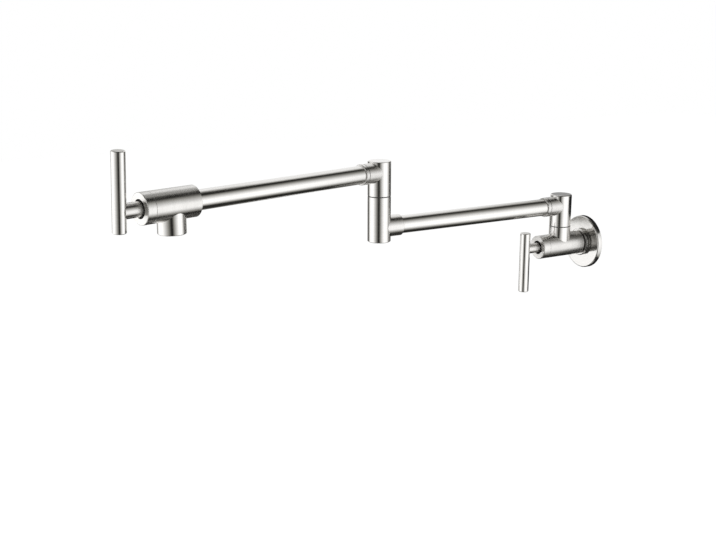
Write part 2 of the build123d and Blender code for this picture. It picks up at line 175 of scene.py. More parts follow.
def range_node(tree, value, low, high, to_low=0.0, to_high=1.0, smooth=True):
    """One Map Range node, which takes low..high to to_low..to_high; its output."""
    node = tree.nodes.new("ShaderNodeMapRange")
    node.interpolation_type = "SMOOTHSTEP" if smooth else "LINEAR"
    for label, item in (("Value", value), ("From Min", low), ("From Max", high),
                        ("To Min", to_low), ("To Max", to_high)):
        feed(tree, node.inputs[label], item)
    return node.outputs[0]


def mix_colour(tree, factor, first, second):
    """One colour Mix node; its output. The node keeps sockets for each kind of data it can mix."""
    node = tree.nodes.new("ShaderNodeMix")
    node.data_type = "RGBA"
    factor_input, first_input, second_input = node.inputs[0], node.inputs[6], node.inputs[7]
    feed(tree, factor_input, factor)
    feed(tree, first_input, first)
    feed(tree, second_input, second)
    return node.outputs[2]


def split_vector(tree, vector):
    """The three numbers of a vector."""
    split = tree.nodes.new("ShaderNodeSeparateXYZ")
    tree.links.new(vector, split.inputs[0])
    return split.outputs


# %% The ring pattern of a turned and brushed surface
BAND_SCALE = 0.16
MARK_SCALE = 45.0


def make_turned_rings():
    """Rings round local Z: fine hairlines, broader bands and handling marks."""
    group, start, end = new_group(
        "turned_rings",
        (("Vector", "NodeSocketVector", None), ("Lines per metre", "NodeSocketFloat", 2500.0),
         ("Flow", "NodeSocketFloat", 35.0)),
        (("Hairlines", "NodeSocketFloat"), ("Bands", "NodeSocketFloat"),
         ("Marks", "NodeSocketFloat")))
    x, y, z = split_vector(group, start.outputs["Vector"])
    squares = math_node(group, "ADD", math_node(group, "MULTIPLY", x, x),
                        math_node(group, "MULTIPLY", y, y))
    travel = math_node(group, "ADD", z, math_node(group, "SQRT", squares))
    flow = start.outputs["Flow"]
    lines = start.outputs["Lines per metre"]
    stretched = group.nodes.new("ShaderNodeCombineXYZ")
    for place, (length, density) in enumerate(((x, flow), (y, flow), (travel, lines))):
        group.links.new(math_node(group, "MULTIPLY", length, density), stretched.inputs[place])
    pattern = stretched.outputs[0]
    group.links.new(noise_node(group, pattern, 1.0, 3.0, 0.65), end.inputs["Hairlines"])
    group.links.new(noise_node(group, pattern, BAND_SCALE, 2.0), end.inputs["Bands"])
    group.links.new(noise_node(group, start.outputs["Vector"], MARK_SCALE, 3.0), end.inputs["Marks"])
    return group


turned_rings = make_turned_rings()
print("group", turned_rings.name, "with", len(turned_rings.nodes), "nodes")

# %% [markdown]
# Nickel plate wears first where hands and cloths rub: on the rims. The Bevel node gives the normal
# that a softly rounded edge would have. Where that normal leaves the true one there is an edge, so
# one small group turns the difference into a mask, and noise keeps the worn line from being even.

# %% The edge wear mask
FLAT_COSINE = 0.995
EDGE_COSINE = 0.9
WEAR_SCALE = 900.0
WEAR_SPAN = (0.3, 0.6)
LEAST_WEAR = 0.45


def make_edge_wear():
    """A mask that rises to 1 on edges and breaks up along them, and the softened normal."""
    group, start, end = new_group(
        "edge_wear",
        (("Vector", "NodeSocketVector", None), ("Width", "NodeSocketFloat", 0.4 * MM)),
        (("Mask", "NodeSocketFloat"), ("Normal", "NodeSocketVector")))
    bevel = group.nodes.new("ShaderNodeBevel")
    bevel.samples = 4
    group.links.new(start.outputs["Width"], bevel.inputs["Radius"])
    geometry = group.nodes.new("ShaderNodeNewGeometry")
    dot = group.nodes.new("ShaderNodeVectorMath")
    dot.operation = "DOT_PRODUCT"
    group.links.new(bevel.outputs[0], dot.inputs[0])
    group.links.new(geometry.outputs["Normal"], dot.inputs[1])
    edge = range_node(group, dot.outputs["Value"], FLAT_COSINE, EDGE_COSINE)
    grain = noise_node(group, start.outputs["Vector"], WEAR_SCALE)
    broken = range_node(group, grain, *WEAR_SPAN, LEAST_WEAR, 1.0)
    group.links.new(math_node(group, "MULTIPLY", edge, broken), end.inputs["Mask"])
    group.links.new(bevel.outputs[0], end.inputs["Normal"])
    return group


edge_wear = make_edge_wear()
print("group", edge_wear.name, "with", len(edge_wear.nodes), "nodes")

# %% [markdown]
# A pattern on Object coordinates knows nothing of a piece's axis. A Mapping node turns and moves the
# coordinates until Z runs along the axis, so that one recipe serves pieces that point in any way.
#
# The same axis tells which way the brush ran: round it. Thousands of fine grooves smear a reflection
# along the bar, across the grooves, and that smear is what the eye reads as brushed metal. The
# Principled surface does it with Anisotropic, given the grooves' direction as Tangent. It smears
# along the tangent, so Anisotropic Rotation turns it by a quarter of a turn.

# %% Axis and brush direction of a finish
def axis_coordinates(tree, axis):
    """Object coordinates seen from an axis: Z runs along it."""
    coordinates = tree.nodes.new("ShaderNodeTexCoord")
    mapping = tree.nodes.new("ShaderNodeMapping")
    inverse = AXES[axis].inverted()
    mapping.inputs["Location"].default_value = inverse.to_translation()
    mapping.inputs["Rotation"].default_value = inverse.to_euler("XYZ")
    tree.links.new(coordinates.outputs["Object"], mapping.inputs["Vector"])
    return mapping.outputs[0]


def brush_direction(tree, axis, vector):
    """The way the brush ran at each point: round the axis, as a direction in the world."""
    round_axis = tree.nodes.new("ShaderNodeVectorMath")
    round_axis.operation = "CROSS_PRODUCT"
    round_axis.inputs[0].default_value = UP
    tree.links.new(vector, round_axis.inputs[1])
    mapping = tree.nodes.new("ShaderNodeMapping")
    mapping.vector_type = "VECTOR"
    mapping.inputs["Rotation"].default_value = AXES[axis].to_euler("XYZ")
    tree.links.new(round_axis.outputs[0], mapping.inputs["Vector"])
    to_world = tree.nodes.new("ShaderNodeVectorTransform")
    to_world.vector_type = "VECTOR"
    to_world.convert_from = "OBJECT"
    to_world.convert_to = "WORLD"
    tree.links.new(mapping.outputs[0], to_world.inputs[0])
    return to_world.outputs[0]


def place_group(tree, group, vector):
    """Place a node group and give it its coordinates."""
    node = tree.nodes.new("ShaderNodeGroup")
    node.node_tree = group
    tree.links.new(vector, node.inputs["Vector"])
    return node


def new_surface(name):
    """A material with its node tree and Principled surface."""
    material = bpy.data.materials.new(name)
    material.use_nodes = True
    tree = material.node_tree
    return material, tree, tree.nodes["Principled BSDF"]


def shade(colour, factor):
    """A colour made darker or lighter, and never more than white."""
    return tuple(min(1.0, channel * factor) for channel in colour[:3]) + (1.0,)


# %% [markdown]
# A metal finish is a Principled surface with Metallic at 1. The rings and handling marks shift its
# roughness a little, the bump lets the hairlines glint, and worn edges are a shade lighter and
# smoother. A noise keeps near its middle, so a Map Range node first stretches the span that it
# really uses.

# %% The metal recipe
QUARTER_TURN = 0.25
NOISE_SPAN = (0.3, 0.7)
GROOVE_SPAN = (0.35, 0.65)
MARK_SPAN = (0.45, 0.7)
GROOVE_SHADE = 0.94
WORN_SHADE = 1.10
BAND_SHIFT = 0.02
MARK_SHIFT = 0.05
WORN_SHIFT = 0.06
HAIRLINE_HEIGHT = 0.02 * MM


def turned_metal(name, axis, colour, roughness, hairline, depth, lines, wear=0.5, spread=0.5):
    """Brushed or machined metal whose rings run round an axis."""
    material, tree, surface = new_surface(name)
    vector = axis_coordinates(tree, axis)
    rings = place_group(tree, turned_rings, vector)
    rings.inputs["Lines per metre"].default_value = lines
    worn = place_group(tree, edge_wear, vector)
    surface.inputs["Metallic"].default_value = 1.0
    surface.inputs["Anisotropic"].default_value = spread
    surface.inputs["Anisotropic Rotation"].default_value = QUARTER_TURN
    tree.links.new(brush_direction(tree, axis, vector), surface.inputs["Tangent"])

    hairlines = rings.outputs["Hairlines"]
    tinted = mix_colour(tree, range_node(tree, hairlines, *GROOVE_SPAN),
                        shade(colour, GROOVE_SHADE), colour)
    edge = math_node(tree, "MULTIPLY", worn.outputs["Mask"], wear)
    tree.links.new(mix_colour(tree, edge, tinted, shade(colour, WORN_SHADE)),
                   surface.inputs["Base Color"])

    bands, marks = rings.outputs["Bands"], rings.outputs["Marks"]
    shifts = (range_node(tree, hairlines, *NOISE_SPAN, -hairline, hairline, smooth=False),
              range_node(tree, bands, *NOISE_SPAN, -BAND_SHIFT, BAND_SHIFT, smooth=False),
              range_node(tree, marks, *MARK_SPAN, 0.0, MARK_SHIFT))
    rough = roughness
    for shift in shifts:
        rough = math_node(tree, "ADD", shift, rough)
    smoothing = math_node(tree, "MULTIPLY", edge, WORN_SHIFT)
    tree.links.new(math_node(tree, "SUBTRACT", rough, smoothing, clamp=True),
                   surface.inputs["Roughness"])

    bump = tree.nodes.new("ShaderNodeBump")
    bump.inputs["Strength"].default_value = depth
    bump.inputs["Distance"].default_value = HAIRLINE_HEIGHT
    tree.links.new(hairlines, bump.inputs["Height"])
    tree.links.new(worn.outputs["Normal"], bump.inputs["Normal"])
    tree.links.new(bump.outputs[0], surface.inputs["Normal"])
    return material


# %% [markdown]
# The photograph shows one plating with three grades of finish. The lever rods, the wall flange and
# the collar behind the inner valve are the smoothest and mirror their surroundings with hard lines.
# The posts, the outlet and the tubes are satin. The valve bodies, caps, stems, bosses and arm
# collars carry visible rings. The metal itself is nearly white, a touch warm.

# %% The nickel finishes, one for each grade and axis
NICKEL = (0.828, 0.815, 0.794, 1.0)
GRADES = {
    "polished": dict(roughness=0.10, hairline=0.02, depth=0.02, lines=3500.0, spread=0.4),
    "satin": dict(roughness=0.15, hairline=0.03, depth=0.03, lines=3000.0, spread=0.6),
    "brushed": dict(roughness=0.26, hairline=0.035, depth=0.03, lines=2000.0, spread=0.85),
}
nickel_made = {}


def nickel(grade, axis):
    """The nickel finish of this grade, brushed round this axis."""
    key = grade + "_nickel_" + axis
    if key not in nickel_made:
        nickel_made[key] = turned_metal(key, axis, NICKEL, **GRADES[grade])
        print("finish", key)
    return nickel_made[key]


# %% [markdown]
# ## The hidden pieces' finishes
# Seals are black rubber with a faint bloom, the bearings are black plastic, the aerator is satin
# plastic, and the discs are lapped white ceramic under a thin gloss. The insides of the caps and
# the shank in its groove get painted shade: a dark, dull surface that stands for the deep shade there.

# %% Dull materials: rubber, plastic, ceramic and painted shade
CLOUD_SCALE = 160.0
CLOUD_SPAN = (0.4, 0.75)
ROUGHNESS_SHIFT = 0.06
GRAIN_STRENGTH = 0.3


def dull_material(name, colour, roughness, grain, grain_depth, bloom, coat=0.0):
    """A matt or glazed surface with a fine grain, a cloudy colour and uneven roughness."""
    material, tree, surface = new_surface(name)
    coordinates = tree.nodes.new("ShaderNodeTexCoord").outputs["Object"]
    cloud = noise_node(tree, coordinates, CLOUD_SCALE, 3.0)
    lighter = tuple(min(1.0, channel + bloom) for channel in colour[:3]) + (1.0,)
    tree.links.new(mix_colour(tree, range_node(tree, cloud, *CLOUD_SPAN), colour, lighter),
                   surface.inputs["Base Color"])
    tree.links.new(range_node(tree, cloud, *NOISE_SPAN, roughness - ROUGHNESS_SHIFT,
                              roughness + ROUGHNESS_SHIFT), surface.inputs["Roughness"])
    surface.inputs["Coat Weight"].default_value = coat
    bump = tree.nodes.new("ShaderNodeBump")
    bump.inputs["Strength"].default_value = GRAIN_STRENGTH
    bump.inputs["Distance"].default_value = grain_depth
    tree.links.new(noise_node(tree, coordinates, grain, 4.0), bump.inputs["Height"])
    tree.links.new(bump.outputs[0], surface.inputs["Normal"])
    return material


rubber = dull_material("seal_rubber", (0.018, 0.018, 0.019, 1.0), roughness=0.62,
                       grain=2600.0, grain_depth=0.03 * MM, bloom=0.02)
bearing_plastic = dull_material("bearing_plastic", (0.03, 0.03, 0.032, 1.0), roughness=0.42,
                                grain=1800.0, grain_depth=0.02 * MM, bloom=0.02)
aerator_plastic = dull_material("aerator_plastic", (0.55, 0.56, 0.57, 1.0), roughness=0.35,
                                grain=1500.0, grain_depth=0.01 * MM, bloom=0.05)
ceramic = dull_material("lapped_ceramic", (0.86, 0.85, 0.82, 1.0), roughness=0.18,
                        grain=3000.0, grain_depth=0.004 * MM, bloom=0.05, coat=0.4)
# Painted shade: a near-black, dull surface for the cap recesses and the groove, where shade falls.
painted_shade_metal = dull_material("painted_shade_dark_metal", (0.030, 0.027, 0.025, 1.0), roughness=0.6,
                           grain=1400.0, grain_depth=0.02 * MM, bloom=0.015)
print("dull materials:", len(bpy.data.materials))

# %% [markdown]
# Cartridges and spigots are machined brass, and the screws and clips are plain steel. Both are
# turned and not plated, so they take the metal recipe with coarser, deeper rings. The brass is
# turned round each piece's own axis. The steel pieces are so small that one axis does for all.

# %% Brass and steel
BRASS = (0.78, 0.58, 0.28, 1.0)
SCREW_STEEL = (0.32, 0.32, 0.33, 1.0)
brass_of = {axis: turned_metal("machined_brass_" + axis, axis, BRASS, roughness=0.28,
                               hairline=0.12, depth=0.3, lines=1500.0, wear=0.3)
            for axis in ("wall", "riser", "middle", "outer_arm")}
screw_steel = turned_metal("screw_steel", "wall", SCREW_STEEL, roughness=0.34,
                           hairline=0.08, depth=0.2, lines=1200.0, wear=0.6)
print("brass for the axes:", ", ".join(brass_of))

# %% [markdown]
# The inlet's thread is cut inside the shank. The solid has a plain bore there, so the thread is
# drawn by the finish: a wave along the axis, leaning with the angle round it, raises one ridge a
# turn at the 14 threads per inch of half inch pipe.

# %% The inlet thread's finish
THREAD_PITCH = 25.4 * MM / 14
THREAD_HEIGHT = 1.0 * MM
# The roots are painted darker than the crests: painted shade in the thread's grooves.
PAINTED_SHADE_ROOT_COLOUR = (0.36, 0.30, 0.20, 1.0)
CREST_COLOUR = (0.72, 0.62, 0.42, 1.0)
ROOT_ROUGHNESS = 0.5
CREST_ROUGHNESS = 0.25
HALF_TURN = 0.5
CREST_SPAN = (0.1, 0.4)


def thread_finish():
    """Bare cut metal with a helical ridge round the wall axis, and painted shade in its roots."""
    material, tree, surface = new_surface("cut_inlet_thread")
    x, y, z = split_vector(tree, axis_coordinates(tree, "wall"))
    turn = math_node(tree, "DIVIDE", math_node(tree, "ARCTAN2", y, x), tau)
    place = math_node(tree, "ADD", math_node(tree, "DIVIDE", z, THREAD_PITCH), turn)
    ridge = math_node(tree, "PINGPONG", place, HALF_TURN)
    surface.inputs["Metallic"].default_value = 1.0
    crest = range_node(tree, ridge, *CREST_SPAN)
    tree.links.new(mix_colour(tree, crest, PAINTED_SHADE_ROOT_COLOUR, CREST_COLOUR), surface.inputs["Base Color"])
    tree.links.new(range_node(tree, ridge, 0.0, HALF_TURN, ROOT_ROUGHNESS, CREST_ROUGHNESS),
                   surface.inputs["Roughness"])
    bump = tree.nodes.new("ShaderNodeBump")
    bump.inputs["Strength"].default_value = 1.0
    bump.inputs["Distance"].default_value = THREAD_HEIGHT
    tree.links.new(ridge, bump.inputs["Height"])
    tree.links.new(bump.outputs[0], surface.inputs["Normal"])
    return material


inlet_thread = thread_finish()
print("thread pitch", round(THREAD_PITCH / MM, 3), "mm")

# %% [markdown]
# ## Castings with two axes
# A post head is an upright bar with a sideways boss, and each is brushed round its own axis. Such a
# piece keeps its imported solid, whose normals are already smooth, and gets two or more material
# slots. Each face goes to the slot of the bar that it lies on, which its distance from an axis
# tells.

# %% Measuring against an axis
SLACK = 0.1 * MM
Turning = namedtuple("Turning", "start end rim bore")


def seen_from(axis, point):
    """A point's place in an axis's own frame."""
    return AXES[axis].inverted() @ Vector(point)


def radius_from(axis, point):
    """Distance of a point from an axis."""
    return seen_from(axis, point).xy.length


def measure(node, axis):
    """Start, end, outer and inner radius of a node along an axis."""
    points = [seen_from(axis, vertex.co) for vertex in nodes[node].data.vertices]
    radii = [point.xy.length for point in points]
    heights = [point.z for point in points]
    return Turning(min(heights), max(heights), max(radii), min(radii))


def outside_of(axis, radius):
    """Slot 0 for faces on the bar of this radius round an axis, slot 1 for those outside it."""
    return lambda point: int(radius_from(axis, point) > radius + SLACK)


def in_front_of(axis, height):
    """Slot 0 for faces up to this height along an axis, slot 1 for those in front of it."""
    return lambda point: int(seen_from(axis, point).z > height)


def dress(node, *materials, choose=None):
    """Give a node its materials; choose says which slot a face centre belongs to."""
    mesh = nodes[node].data
    mesh.materials.clear()
    for material in materials:
        mesh.materials.append(material)
    if choose is not None:
        for polygon in mesh.polygons:
            polygon.material_index = choose(polygon.center)


# %% The five castings
BODY, STUB, THREAD, SHANK = range(4)
INLET_RADIUS = 9.315 * MM
INLET_DEPTH = 13.0 * MM
body_radius = measure("inner_bonnet_cap", "wall").rim
outer_body_radius = measure("outer_bonnet_cap", "outer_arm").rim
shank_radius = measure("rear_collar", "wall").bore
post_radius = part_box("middle_post_lower")[1].x - middle_point.x


def valve_body_slot(point):
    """Body, riser stub, inlet thread, or the shank in the groove, which takes painted shade."""
    radius = radius_from("wall", point)
    if abs(radius - shank_radius) < SLACK:
        return SHANK
    if radius > body_radius + SLACK:
        return STUB
    if radius < INLET_RADIUS + SLACK and point.y > -INLET_DEPTH:
        return THREAD
    return BODY


# The shank in the groove gets the painted shade, a near-black dull surface.
dress("inner_valve_body", nickel("brushed", "wall"), nickel("satin", "riser"), inlet_thread,
      painted_shade_metal, choose=valve_body_slot)
for node, upright, arm in (("riser_head", "riser", "inner_arm"),
                           ("middle_post_lower", "middle", "inner_arm"),
                           ("middle_post_upper", "middle", "outer_arm")):
    dress(node, nickel("satin", upright), nickel("brushed", arm),
          choose=outside_of(upright, post_radius))
dress("outer_valve_body", nickel("brushed", "outer_arm"), nickel("satin", "outlet"),
      choose=outside_of("outer_arm", outer_body_radius))
print("castings dressed; post radius", round(post_radius / MM, 2), "mm")

# %% [markdown]
# The small and hidden nodes keep their solids too. Their names say what they are, so a short list
# of name endings serves both valves and both swivels.

# %% The other solids that stay
def node_axis(node):
    """The axis that a valve or swivel piece is turned on."""
    if node.startswith("inner_") or node == "rear_collar":
        return "wall"
    if node.startswith("outer_"):
        return "outer_arm"
    return "riser" if node.startswith("riser") else "middle"


for node in nodes:
    if node.endswith(("_seal", "_seals", "gasket", "aerator_washer")):
        dress(node, rubber)
    elif node.endswith(("glide_washer", "_bearing")):
        dress(node, bearing_plastic)
    elif node.endswith("_disc"):
        dress(node, ceramic)
    elif node.endswith(("_screw", "_clip")):
        dress(node, screw_steel)
    elif node.endswith(("_spigot", "_housing", "_spindle")):
        dress(node, brass_of[node_axis(node)])
    elif node.endswith("_lever_stem"):
        dress(node, nickel("brushed", node_axis(node)))
    elif node == "rear_collar":
        dress(node, nickel("polished", node_axis(node)))
    elif node in ("aerator_cage", "aerator_screen"):
        dress(node, aerator_plastic)
print("nodes in all:", len(nodes))

# %% [markdown]
# ## Turned rings and bars
# The flange, the caps, the tubes, the arm collars and the lever rods are plain turnings. Each is
# remade as a lathe would make it: half of its outline is drawn as a few corners, spun round the
# axis, and every sharp ring is bevelled, because it is that thin bright line on each rim that makes
# metal look machined. The new piece rides on the body of the solid that it stands for.

# %% The lathe
STEPS_ROUND = 128
SHARP_ANGLE = radians(20)
MERGE_DISTANCE = 0.001 * MM


def turned_mesh(name, corners, axis, edge, closed):
    """Spin corners of (radius, height) round an axis and break the sharp rings."""
    lathe = bmesh.new()
    outline = [lathe.verts.new((radius, 0.0, height)) for radius, height in corners]
    pairs = list(zip(outline, outline[1:]))
    if closed:
        pairs.append((outline[-1], outline[0]))
    edges = [lathe.edges.new(pair) for pair in pairs]
    bmesh.ops.spin(lathe, geom=outline + edges, axis=(0, 0, 1), cent=(0, 0, 0), dvec=(0, 0, 0),
                   angle=tau, steps=STEPS_ROUND, use_merge=True)
    bmesh.ops.remove_doubles(lathe, verts=lathe.verts, dist=MERGE_DISTANCE)
    bmesh.ops.recalc_face_normals(lathe, faces=lathe.faces)
    sharp = [item for item in lathe.edges
             if len(item.link_faces) == 2 and item.calc_face_angle() > SHARP_ANGLE]
    bmesh.ops.bevel(lathe, geom=sharp, offset=edge, offset_type="OFFSET", segments=3,
                    profile=0.5, affect="EDGES", clamp_overlap=True, material=-1)
    bmesh.ops.transform(lathe, matrix=AXES[axis], verts=lathe.verts)
    bmesh.ops.recalc_face_normals(lathe, faces=lathe.faces)
    mesh = bpy.data.meshes.new(name)
    lathe.to_mesh(mesh)
    lathe.free()
    for polygon in mesh.polygons:
        polygon.use_smooth = True
    return mesh


def turned_piece(name, corners, axis, node, material, edge, closed=True):
    """A turning that stands in for a node; its outline is closed unless it ends on the axis."""
    mesh = turned_mesh(name, corners, axis, edge, closed)
    mesh.materials.append(material)
    piece = bpy.data.objects.new(name, mesh)
    bpy.context.scene.collection.objects.link(piece)
    weighted = piece.modifiers.new("even_normals", "WEIGHTED_NORMAL")
    weighted.keep_sharp = True
    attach(piece, nodes[node]["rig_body"])
    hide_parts(node)
    print(f"{name}: {len(mesh.polygons)} faces")
    return piece


# %% [markdown]
# The wall flange is a heavy disc with a mirror-like face. A narrow chamfer round its edge catches
# one dark line, as the photograph's rim does. A groove in its back holds the gasket.

# %% Wall flange
FLANGE_CHAMFER = 0.9 * MM
start, end, rim, bore = measure("wall_flange", "wall")
gasket = measure("flange_gasket", "wall")
turned_piece("flange_turned", [
    (bore, start), (gasket.bore, start), (gasket.bore, gasket.end), (gasket.rim, gasket.end),
    (gasket.rim, start), (rim, start), (rim, end - FLANGE_CHAMFER), (rim - FLANGE_CHAMFER, end),
    (bore, end)],
    "wall", "wall_flange", nickel("polished", "wall"), edge=0.35 * MM)

# %% [markdown]
# Each valve ends in a screwed cap: a wide flat ring round the stem, which shows bright because it
# faces a softbox, with a dark recess inside. The cap's neck is threaded and hidden in the body. The
# recess and the front of the cartridge housing that closes it are given painted shade.

# %% Bonnet caps
CAP_NECK_LENGTH = 6.3 * MM
CAP_NECK_RADIUS = 10.0 * MM
CAP_CHAMFER = 0.5 * MM
CAP_RECESS_DEPTH = 3.0 * MM
CAP_RECESS_RADIUS = {"inner": 7.7 * MM, "outer": 8.8 * MM}
for valve, axis in (("inner", "wall"), ("outer", "outer_arm")):
    start, end, rim, bore = measure(valve + "_bonnet_cap", axis)
    neck_end = start + CAP_NECK_LENGTH
    recess_floor = end - CAP_RECESS_DEPTH
    recess = CAP_RECESS_RADIUS[valve]
    cap = turned_piece(valve + "_cap_turned", [
        (bore, start), (CAP_NECK_RADIUS, start), (CAP_NECK_RADIUS, neck_end), (rim, neck_end),
        (rim, end - CAP_CHAMFER), (rim - CAP_CHAMFER, end), (recess, end),
        (recess, recess_floor), (bore, recess_floor)],
        axis, valve + "_bonnet_cap", nickel("brushed", axis), edge=0.08 * MM)
    # The recess walls and floor take the painted shade, and so does the housing's front inside the
    # cap.
    cap.data.materials.append(painted_shade_metal)
    for polygon in cap.data.polygons:
        polygon.material_index = int(radius_from(axis, polygon.center) < recess + SLACK)
    dress(valve + "_cartridge_housing", brass_of[axis], painted_shade_metal, choose=in_front_of(axis, start))

# %% [markdown]
# The arms are drawn tube, which comes off the drawbench smooth and straight. Their ends are hidden
# in sockets, so a plain sleeve with broken ends is the whole piece.

# %% Arm tubes
for arm in ("inner_arm", "outer_arm"):
    start, end, rim, bore = measure(arm + "_tube", arm)
    turned_piece(arm + "_tube_drawn", [(bore, start), (rim, start), (rim, end), (bore, end)],
                 arm, arm + "_tube", nickel("satin", arm), edge=0.2 * MM)

# %% [markdown]
# A threaded collar joins each tube to the boss of its post. The gap before it is the thin dark line
# in the photograph, so the collar's rear edge is crisp and its front edge softer.

# %% Arm collars
NECK_RADIUS = 8.0 * MM
NECK_LENGTH = 8.0 * MM
COLLAR_CHAMFER = 0.5 * MM
SOCKET_DEPTH = 3.0 * MM
SOCKET_PLAY = 0.03 * MM
for arm in ("inner_arm", "outer_arm"):
    start, end, rim, bore = measure(arm + "_collar", arm)
    neck_end = start + NECK_LENGTH
    socket_floor = end - SOCKET_DEPTH
    socket = measure(arm + "_tube", arm).rim + SOCKET_PLAY
    turned_piece(arm + "_collar_turned", [
        (bore, start), (NECK_RADIUS, start), (NECK_RADIUS, neck_end), (rim, neck_end),
        (rim, end - COLLAR_CHAMFER), (rim - COLLAR_CHAMFER, end), (socket, end),
        (socket, socket_floor), (bore, socket_floor)],
        arm, arm + "_collar", nickel("brushed", arm), edge=0.12 * MM)

# %% [markdown]
# The lever rods are polished bar, faced square with a narrow chamfer at both ends. The outline
# starts and ends on the axis, so the spin closes the end faces.

# %% Lever rods
ROD_CHAMFER = 0.6 * MM
for valve in ("inner", "outer"):
    axis = valve + "_lever"
    start, end, rim, _ = measure(valve + "_lever_rod", axis)
    half = (end - start) / 2
    turned_piece(valve + "_lever_bar", [
        (0.0, -half), (rim - ROD_CHAMFER, -half), (rim, -half + ROD_CHAMFER),
        (rim, half - ROD_CHAMFER), (rim - ROD_CHAMFER, half), (0.0, half)],
        axis, valve + "_lever_rod", nickel("polished", axis), edge=0.15 * MM, closed=False)

# %% [markdown]
# ## The studio
# Polished metal has almost no colour of its own: what it shows is the room. The photograph's bars
# carry the same bands everywhere: white where they face a softbox, black where they face the dark
# room behind the camera and over the object, and white again at the back. So the studio is a light
# tent, a dome that only reflections see. It is part of the stage, not of the tap. First comes the
# camera, in the place from which the photograph was taken.

# %% Camera
PHOTO_WIDTH = 716
FOCAL_PIXELS = 1115.6
SENSOR_WIDTH_MM = 36.0
CAMERA_PLACE = Vector((0.9935, -0.8543, 0.2966))
CAMERA_TURN = radians(61.09)
CAMERA_DIP = radians(14.52)


def make_camera():
    """The camera that saw the photograph."""
    data = bpy.data.cameras.new("studio_camera")
    data.sensor_width = SENSOR_WIDTH_MM
    data.lens = FOCAL_PIXELS / PHOTO_WIDTH * SENSOR_WIDTH_MM
    data.clip_start = 0.01
    data.clip_end = 50.0
    camera = bpy.data.objects.new("studio_camera", data)
    forward = Vector((-sin(CAMERA_TURN) * cos(CAMERA_DIP), cos(CAMERA_TURN) * cos(CAMERA_DIP),
                      -sin(CAMERA_DIP)))
    level = Vector((cos(CAMERA_TURN), sin(CAMERA_TURN), 0))
    upward = level.cross(forward)
    turn = Matrix((level, upward, -forward)).transposed().to_4x4()
    camera.matrix_world = Matrix.Translation(CAMERA_PLACE) @ turn
    bpy.context.scene.collection.objects.link(camera)
    bpy.context.scene.camera = camera
    return camera


camera = make_camera()
print("lens", round(camera.data.lens, 1), "mm")

# %% [markdown]
# The world is plain white to the camera and to reflections, and a softer grey as a light. The floor
# lies as far below the tap as in a kitchen, so it takes only a faint shadow.

# %% World and floor
FLOOR_WHITE = (0.94, 0.94, 0.94, 1.0)
WHITE = (1.0, 1.0, 1.0, 1.0)
bpy.context.scene.view_settings.view_transform = "Standard"


def seen_directly(tree):
    """1 for camera, glossy and transmission rays, 0 for the light that falls on things."""
    path = tree.nodes.new("ShaderNodeLightPath")
    seen = math_node(tree, "MAXIMUM", path.outputs["Is Camera Ray"], path.outputs["Is Glossy Ray"])
    return math_node(tree, "MAXIMUM", seen, path.outputs["Is Transmission Ray"])


def make_world(fill):
    """White to look at, fill as light."""
    world = bpy.data.worlds.new("studio_white")
    world.use_nodes = True
    tree = world.node_tree
    background = tree.nodes["Background"]
    background.inputs["Color"].default_value = WHITE
    tree.links.new(range_node(tree, seen_directly(tree), 0.0, 1.0, fill, 1.0, smooth=False),
                   background.inputs["Strength"])
    bpy.context.scene.world = world


def stage_object(name, shape, material):
    """An object of the stage, made from a bmesh, which it frees."""
    mesh = bpy.data.meshes.new(name)
    shape.to_mesh(mesh)
    shape.free()
    mesh.materials.append(material)
    item = bpy.data.objects.new(name, mesh)
    bpy.context.scene.collection.objects.link(item)
    return item


def make_floor(height, size, glow):
    """A pale floor; glow is how much of its white is its own to the camera."""
    shape = bmesh.new()
    bmesh.ops.create_grid(shape, x_segments=1, y_segments=1, size=size)
    bmesh.ops.translate(shape, vec=(0, 0, height), verts=shape.verts)
    material, tree, surface = new_surface("floor_white")
    surface.inputs["Base Color"].default_value = FLOOR_WHITE
    surface.inputs["Roughness"].default_value = 0.9
    surface.inputs["Specular IOR Level"].default_value = 0.0
    surface.inputs["Emission Color"].default_value = WHITE
    tree.links.new(range_node(tree, seen_directly(tree), 0.0, 1.0, 0.0, glow, smooth=False),
                   surface.inputs["Emission Strength"])
    stage_object("studio_floor", shape, material)


make_world(fill=0.55)
make_floor(height=-1.7, size=12.0, glow=0.5)
print("world", bpy.context.scene.world.name)

# %% [markdown]
# Each window of the tent is a patch of the dome given by a bearing and an elevation, with feathered
# edges. Bearings count from the camera, left negative, because that is how a photographer sets
# softboxes. The feather makes the grey gradients beside each white band. The tent has a softbox on
# each side, an open back, and a dim patch straight overhead and another straight below. Everything
# else is dark cloth, a little warm.
#
# The radius matters as much as the windows. In a near tent each end of the arm sees the softboxes
# from another side, so the bands shift from bar to bar as they do in the photograph.

# %% Light tent
TENT_RADIUS = 0.85
TENT_CENTRE = Vector((0.04, -0.33, 0.06))
DARK_CLOTH = 0.02
WARM_CLOTH = (1.02, 1.0, 0.92, 1.0)
SOFTBOX_LEVEL = 1.32
PATCH_LEVEL = 0.45
CLOTH_TO_WHITE = (0.0, 0.9)
LEFT_BOX_FALL = 1.4
BACK_LEAN = 0.35
BACK_EDGE = (136.0, 178.0)
BACK_TOP = (72.0, 54.0)
BACK_FOOT = (-58.0, 6.0)
POLE_EDGE = (72.0, 84.0)
RIGHT_BOX = dict(sides=(52, 82), heights=(-26, 3), side_feathers=(50, 38), height_feathers=(34, 52))
LEFT_BOX = dict(sides=(-100, -64), heights=(-35, 30), side_feathers=(42, 60), height_feathers=(25, 25))


